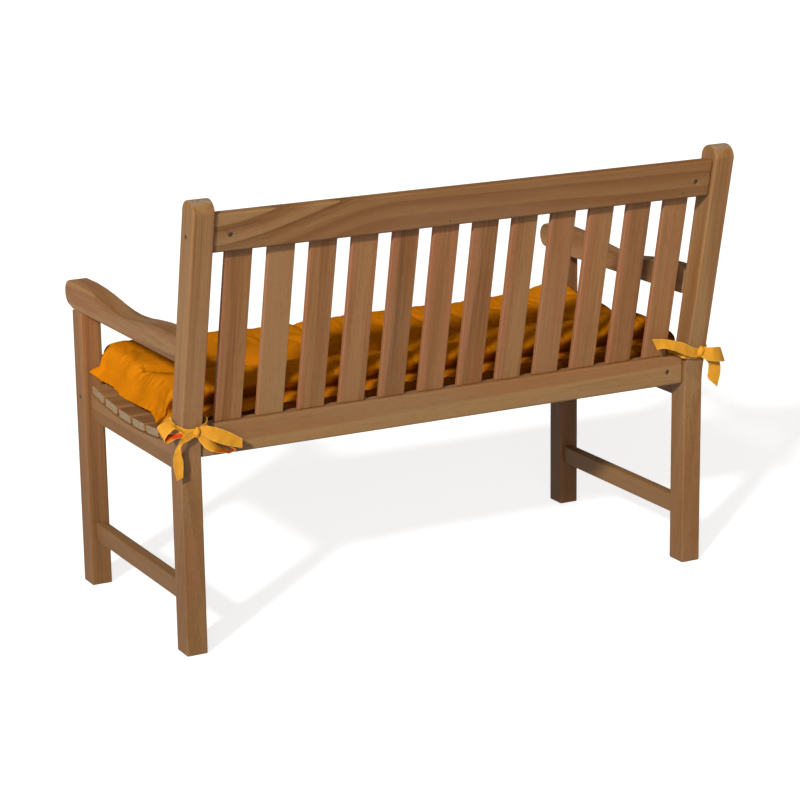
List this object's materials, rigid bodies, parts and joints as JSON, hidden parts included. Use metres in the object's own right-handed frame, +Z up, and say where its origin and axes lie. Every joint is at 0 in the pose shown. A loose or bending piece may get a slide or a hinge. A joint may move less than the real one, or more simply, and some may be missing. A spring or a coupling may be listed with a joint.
{
  "type": "bench cushion on a garden bench",
  "caption": "Filled seat cushion with a flanged edge, its corner ribbons tied in bows round the rear posts of a slatted wooden garden bench with arms.",
  "frame": {"origin": "on the floor, under the middle of the whole bench", "axes": "+X towards the bench's left end (the sitter's left), -Y the way the bench faces, +Z up"},
  "size_m": [1.2923, 0.6949, 0.917],
  "materials": {
    "teak": "oiled teak, matt, sun-bleached on end grain",
    "cover_cloth": "plain-woven cotton cover, dyed orange-yellow, matt",
    "ribbon_cloth": "flat woven ribbon, paler yellow, slightly lustrous"
  },
  "bodies": {
    "root": {"arm_left": "teak", "arm_right": "teak", "back_rail_low": "teak", "back_rail_top": "teak", "back_slat_01": "teak", "back_slat_02": "teak", "back_slat_03": "teak", "back_slat_04": "teak", "back_slat_05": "teak", "back_slat_06": "teak", "back_slat_07": "teak", "back_slat_08": "teak", "back_slat_09": "teak", "back_slat_10": "teak", "back_slat_11": "teak", "back_slat_12": "teak", "cushion": "cover_cloth", "front_leg_left": "teak", "front_leg_right": "teak", "front_rail": "teak", "rear_post_left": "teak", "rear_post_right": "teak", "seat_slat_1": "teak", "seat_slat_2": "teak", "seat_slat_3": "teak", "seat_slat_4": "teak", "seat_slat_5": "teak", "seat_slat_6": "teak", "seat_slat_7": "teak", "seat_slat_front": "teak", "side_rail_left": "teak", "side_rail_right": "teak", "stretcher_left": "teak", "stretcher_right": "teak", "tie_left": "ribbon_cloth", "tie_right": "ribbon_cloth"}
  },
  "joints": []
}
